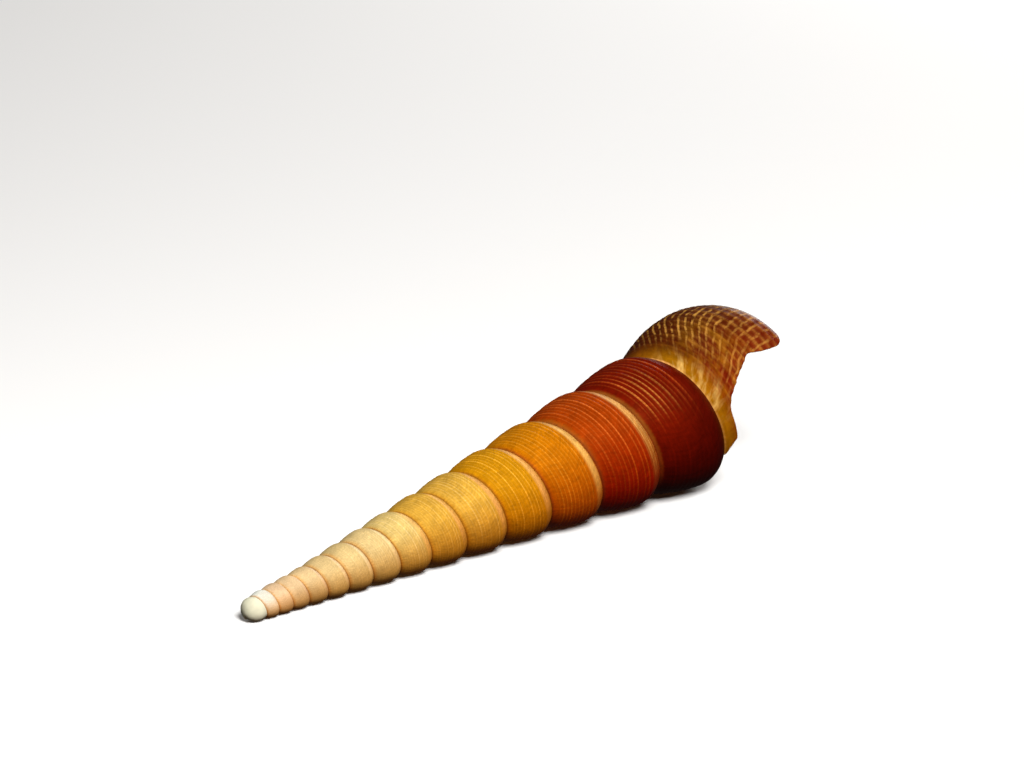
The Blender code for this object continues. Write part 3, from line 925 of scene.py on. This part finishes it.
def shell_material(colours):
    """Polished sea shell. Aragonite laid down line by line at the lip, and stained as it grew:
    a faint gloss over pale cords on a darker ground, crossed by fine growth lines."""
    material, tree, shader = new_material("polished_shell")
    whorls = add_node(tree, "UVMap", uv_map="whorls")
    turn = add_node(tree, "SeparateXYZ", {0: whorls})
    place = turn.node.outputs[1]
    growth = add_node(tree, "UVMap", uv_map="growth")
    growth = add_node(tree, "SeparateXYZ", {0: growth})
    rib = growth.node.outputs[1]
    lines = add_node(tree, "CombineXYZ", {0: growth, 1: place})
    spot = add_node(tree, "TexCoord", result=3)
    blotch = add_node(tree, "TexNoise", {"Vector": spot, "Scale": 1 / BLOTCH, "Detail": 3.0})
    fine = add_node(tree, "TexNoise", {"Vector": spot, "Scale": 1 / GRAIN, "Detail": 4.0})
    along = streaks(tree, whorls, 7.0, 110.0, 0.32, 0.68)
    across = streaks(tree, lines, 130.0, 5.0, 0.30, 0.70)
    last = band(tree, turn, -0.30, -0.05)
    tongue = band(tree, turn, 0.02, 0.16)

    # Ground and cords: the cords show on the crests of the ribs, broken by faint streaks
    ground = along_spire(tree, turn, colours, GROUND_STOPS)
    cords = along_spire(tree, turn, colours, CORD_STOPS)
    crest = band(tree, rib, 0.30, 0.90)
    lit = add_node(tree, "MapRange", {0: along, 3: 0.40, 4: 1.0})
    uneven = streaks(tree, whorls, 1.7, 14.0, 0.36, 0.62)
    uneven = add_node(tree, "MapRange", {0: uneven, 3: 0.15, 4: 1.0})
    crossed = growth_lines(tree, growth, fine, FINE_LINES, -1.0, 1.0)
    crossed = add_node(tree, "MapRange", {0: crossed, 3: 0.55, 4: 1.0})
    colour = coat(tree, ground, cords, crest, lit, uneven, crossed)

    # The zone below the suture, wider on the last half whorl and up the spire: partly its own colour,
    # and partly painted shade of the groove beside the suture, most of all up the spire
    narrow = band(tree, turn, -1.15, -1.0, -0.6, -0.45)
    wide = band(tree, turn, -6.5, -8.5)
    width = 1.0
    for region, more in ((last, 1.3), (narrow, -0.45), (wide, 0.7)):
        width = add_node(tree, "Math", {0: region, 1: more, 2: width}, operation="MULTIPLY_ADD")
    reach = add_node(tree, "Math", {0: place, 1: width}, operation="DIVIDE")
    edge = add_node(tree, "Math", {0: across, 1: 0.03, 2: reach}, operation="MULTIPLY_ADD")
    near = band(tree, edge, -0.10, -0.05, 0.01, 0.12)
    stained = add_node(tree, "MapRange", {0: along, 3: 0.70, 4: 0.95})
    colour = coat(tree, colour, along_spire(tree, turn, colours, ZONE_STOPS), near, stained)

    # The pale band above the suture, with thin threads. It is painted clearest on the side that faces
    # the key light and fades towards the shaded side: painted light and shade over the band's own
    # colour
    angle = {0: turn, 1: math.tau, 2: -math.tau * LIT_SIDE}
    angle = add_node(tree, "Math", angle, operation="MULTIPLY_ADD")
    side = add_node(tree, "Math", {0: angle}, operation="COSINE")
    side = add_node(tree, "MapRange", {0: side, 1: 0.55, 2: 0.90, 3: 0.25, 4: 0.95})
    above = band(tree, place, 0.77, 0.85, 0.95, 0.995), band(tree, turn, -0.86, -1.05), side
    colour = coat(tree, colour, along_spire(tree, turn, colours, BAND_STOPS), *above)
    threads = streaks(tree, whorls, 2.5, 170.0, 0.50, 0.64)
    colour = coat(tree, colour, colours.shine, threads, 0.65, *above)

    # The dark whorl: darker towards its lower suture and its underside, partly its own colour and
    # partly painted shade, with a pale net on its ribs and growth lines, and a painted highlight on
    # some ribs
    low_part = band(tree, place, 0.30, 0.80)
    dusk = band(tree, turn, -0.96, -0.70, -0.5, -0.4)
    colour = coat(tree, colour, colours.dark, low_part, dusk, 0.65)
    upper_part = band(tree, place, 0.08, 0.20, 0.45, 0.65)
    plaid = band(tree, turn, -0.92, -0.86, -0.82, -0.74)
    colour = coat(tree, colour, colours.net, crest, crossed, along, upper_part, plaid, 0.6)
    # Painted highlight: salmon on some rib crests where the key light falls, near the start of the turn
    highlighted = streaks(tree, whorls, 3.5, 45.0, 0.56, 0.70)
    lit_crests = band(tree, turn, -0.98, -0.90, -0.82, -0.75), band(tree, place, 0.2, 0.3)
    colour = coat(tree, colour, colours.salmon, highlighted, crest, *lit_crests)

    # The golden haze and net of the last half whorl, broken and uneven, with dark cells between
    haze = streaks(tree, lines, 24.0, 9.0, 0.44, 0.62)
    hazy_part = band(tree, place, 0.10, 0.25, 0.50, 0.70)
    colour = coat(tree, colour, colours.gold, haze, tongue, hazy_part, 0.30)
    patch = streaks(tree, whorls, 14.0, 6.0, 0.36, 0.52)
    patch = add_node(tree, "MapRange", {0: patch, 3: 0.45, 4: 1.0})
    weave = growth_lines(tree, growth, blotch, GROWTH_LINES, 0.15, 0.95)
    broken = streaks(tree, lines, 55.0, 14.0, 0.38, 0.55)
    rows = add_node(tree, "MapRange", {0: rib, 3: 0.80, 4: 1.0})
    weaker = add_node(tree, "MapRange", {0: tongue, 3: 1.0, 4: 0.45})
    for share in (broken, rows, weaker):
        weave = add_node(tree, "Math", {0: weave, 1: share}, operation="MULTIPLY")
    ribbed = add_node(tree, "MapRange", {0: tongue, 3: 0.05, 4: 0.31})
    for share in (rib, across):
        ribbed = add_node(tree, "Math", {0: ribbed, 1: share}, operation="MULTIPLY")
    net = add_node(tree, "Math", {0: weave, 1: ribbed}, operation="MAXIMUM")
    below = band(tree, edge, 0.06, 0.22)
    colour = coat(tree, colour, colours.net, net, last, patch, below)

    # Pale streaks in the smooth zone, and the beaded thread along the last suture
    wash = streaks(tree, lines, 34.0, 3.5, 0.46, 0.62)
    washed = band(tree, turn, 0.06, 0.14, 0.24, 0.34)
    colour = coat(tree, colour, colours.honey, wash, last, near, washed, 0.6)
    bead = growth_lines(tree, growth, fine, GROWTH_LINES, -3.5, 1.0)
    bright = band(tree, turn, -0.12, 0.0, 0.10, 0.17)
    bright = add_node(tree, "MapRange", {0: bright, 3: 0.3, 4: 1.0})
    lace = band(tree, place, -0.02, 0.004, 0.008, 0.020)
    colour = coat(tree, colour, colours.thread, lace, last, bead, bright)

    # Dark sutures, painted shade in their grooves, then growth streaks, blotches and flecks that darken
    # or lighten every colour
    suture = add_node(tree, "MapRange", {0: place, 1: 0.0, 2: 0.045, 3: 0.6, 4: 0.0})
    early = add_node(tree, "MapRange", {0: turn, 1: -0.3, 2: -0.1, 3: 1.0, 4: 0.0})
    colour = coat(tree, colour, colours.suture, suture, early)
    fleck = streaks(tree, whorls, 75.0, 26.0, 0.30, 0.70)
    for pattern, low, high in ((across, 0.0, 1.0), (blotch, 0.3, 0.7), (fleck, 0.0, 1.0)):
        tone = {0: pattern, 1: low, 2: high, 3: 1 - UNEVEN_TONE, 4: 1 + UNEVEN_TONE}
        tone = add_node(tree, "MapRange", tone)
        colour = coat(tree, colour, tone, 1.0, blend="MULTIPLY")

    # Painted shade: the side that faces the ground, away from the key light, is tinted warmer
    shaded_side = add_node(tree, "Math", {0: angle}, operation="SINE")
    shaded_side = add_node(tree, "MapRange", {0: shaded_side, 1: -0.05, 2: 0.95})
    less = add_node(tree, "MapRange", {0: last, 3: 1.0, 4: 0.25})
    colour = coat(tree, colour, colours.warmth, shaded_side, less, blend="MULTIPLY")
    tree.links.new(colour, shader.inputs["Base Color"])

    rough = add_node(tree, "MapRange", {0: fine, 1: 0.3, 2: 0.7, 3: 0.36, 4: 0.52})
    tree.links.new(rough, shader.inputs["Roughness"])
    shader.inputs["Specular IOR Level"].default_value = 0.05
    shader.inputs["Specular Tint"].default_value = (*colours.gloss, 1.0)
    height = add_node(tree, "Math", {0: across, 1: 0.6, 2: fine}, operation="MULTIPLY_ADD")
    bump = {"Strength": 0.35, "Distance": BUMP_HEIGHT, "Height": height}
    tree.links.new(add_node(tree, "Bump", bump), shader.inputs["Normal"])
    return material


def lining_material(colours):
    """Inside of the tube: smooth, porcelain-like shell with faint growth lines."""
    material, tree, shader = new_material("shell_lining")
    lines = add_node(tree, "UVMap", uv_map="growth")
    across = streaks(tree, lines, 60.0, 2.0, 0.3, 0.7)
    colour = coat(tree, (*colours.tan, 1.0), colours.lining, across)
    tree.links.new(colour, shader.inputs["Base Color"])
    shader.inputs["Roughness"].default_value = 0.3
    shader.inputs["Specular IOR Level"].default_value = 0.3
    return material


def shell_materials(colours):
    """Outside and inside finish, made once and shared by the pieces."""
    if "shell_lining" not in bpy.data.materials:
        shell_material(colours)
        lining_material(colours)
    return [bpy.data.materials[name] for name in ("polished_shell", "shell_lining")]


def finish_piece(scene, make):
    """Makes a piece and puts it in place of the solid."""
    piece = make(scene.shell_form, shell_materials(scene.shell_colours))
    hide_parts("shell")
    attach(piece, "root")


class SHELL_OT_spire(bpy.types.Operator):
    """Make the spire from its tip down"""

    bl_idname = "auger_shell.spire"
    bl_label = "Spire"

    def execute(self, context):
        finish_piece(context.scene, make_spire)
        return {"FINISHED"}


class SHELL_OT_whorls(bpy.types.Operator):
    """Make the two ribbed whorls below the spire"""

    bl_idname = "auger_shell.whorls"
    bl_label = "Ribbed whorls"

    def execute(self, context):
        finish_piece(context.scene, make_whorls)
        return {"FINISHED"}


class SHELL_OT_last_whorl(bpy.types.Operator):
    """Make the last whorl with its lip and mouth"""

    bl_idname = "auger_shell.last_whorl"
    bl_label = "Last whorl and mouth"

    def execute(self, context):
        finish_piece(context.scene, make_last_whorl)
        return {"FINISHED"}


class SHELL_OT_stage(bpy.types.Operator):
    """Make the floor, the lights and the camera"""

    bl_idname = "auger_shell.stage"
    bl_label = "Stage"

    def execute(self, context):
        make_stage(context.scene, context.scene.shell_colours)
        return {"FINISHED"}


def add_light(scene, name, direction, size, power, colour, glint):
    """A soft square light that shines on the shell from a direction, with a share of glint."""
    data = bpy.data.lights.new(name, "AREA")
    data.size = size
    data.energy = power
    data.color = linear(colour)
    data.specular_factor = glint
    light = bpy.data.objects.new(name, data)
    way = np.array(direction) / np.linalg.norm(direction)
    light.location = way * LIGHT_DISTANCE
    light.rotation_mode = "QUATERNION"
    light.rotation_quaternion = Vector(way).to_track_quat("Z", "Y")
    scene.collection.objects.link(light)


def make_stage(scene, colours):
    """A plain pale floor, soft light and the camera."""
    mesh = bpy.data.meshes.new("floor")
    corners = [(x * FLOOR_REACH, y * FLOOR_REACH, 0) for x, y in ((-1, -1), (1, -1), (1, 1), (-1, 1))]
    mesh.from_pydata(corners, [], [(0, 1, 2, 3)])
    floor = bpy.data.objects.new("floor", mesh)
    scene.collection.objects.link(floor)
    material, _, shader = new_material("pale_floor")
    shader.inputs["Base Color"].default_value = (*colours.ground, 1.0)
    shader.inputs["Roughness"].default_value = 0.9
    mesh.materials.append(material)
    floor.visible_glossy = False
    floor.visible_diffuse = False

    world = bpy.data.worlds.new("soft_room")
    world.use_nodes = True
    sky = world.node_tree.nodes["Background"]
    sky.inputs["Color"].default_value = (*linear(ROOM_COLOUR), 1.0)
    sky.inputs["Strength"].default_value = ROOM_LIGHT
    scene.world = world
    for light in LIGHTS:
        add_light(scene, *light)

    data = bpy.data.cameras.new("camera")
    data.lens = CAMERA_LENS
    camera = bpy.data.objects.new("camera", data)
    camera.location = CONE_TIP + CAMERA_BACK
    camera.rotation_mode = "QUATERNION"
    turned = Vector(CAMERA_AIM - CAMERA_BACK).to_track_quat("-Z", "Y")
    camera.rotation_quaternion = turned @ Quaternion((0, 0, 1), CAMERA_LEAN)
    scene.collection.objects.link(camera)
    scene.camera = camera
    scene.view_settings.view_transform = "Standard"


class SHELL_PT_panel(bpy.types.Panel):
    """Lists the sizes, the colours and the pieces of the shell"""

    bl_idname = "SHELL_PT_panel"
    bl_label = "Auger shell"
    bl_space_type = "VIEW_3D"
    bl_region_type = "UI"
    bl_category = "Shell"

    def draw(self, context):
        layout = self.layout
        for group in (context.scene.shell_form, context.scene.shell_colours):
            box = layout.box()
            for name in group.bl_rna.properties.keys():
                if name not in ("rna_type", "name"):
                    box.prop(group, name)
        for operator in OPERATORS:
            layout.operator(operator.bl_idname)


OPERATORS = (SHELL_OT_spire, SHELL_OT_whorls, SHELL_OT_last_whorl, SHELL_OT_stage)
CLASSES = (ShellForm, ShellColours) + OPERATORS + (SHELL_PT_panel,)


def register():
    """Adds the classes and the shell's settings to Blender."""
    for kind in CLASSES:
        bpy.utils.register_class(kind)
    bpy.types.Scene.shell_form = PointerProperty(type=ShellForm)
    bpy.types.Scene.shell_colours = PointerProperty(type=ShellColours)


def unregister():
    """Takes the classes and the settings out again."""
    del bpy.types.Scene.shell_colours
    del bpy.types.Scene.shell_form
    for kind in reversed(CLASSES):
        bpy.utils.unregister_class(kind)


def main():
    """Makes the shell and its stage."""
    register()
    bpy.ops.auger_shell.spire()
    bpy.ops.auger_shell.whorls()
    bpy.ops.auger_shell.last_whorl()
    bpy.ops.auger_shell.stage()
    bpy.context.view_layer.update()


if __name__ == "__main__":
    main()
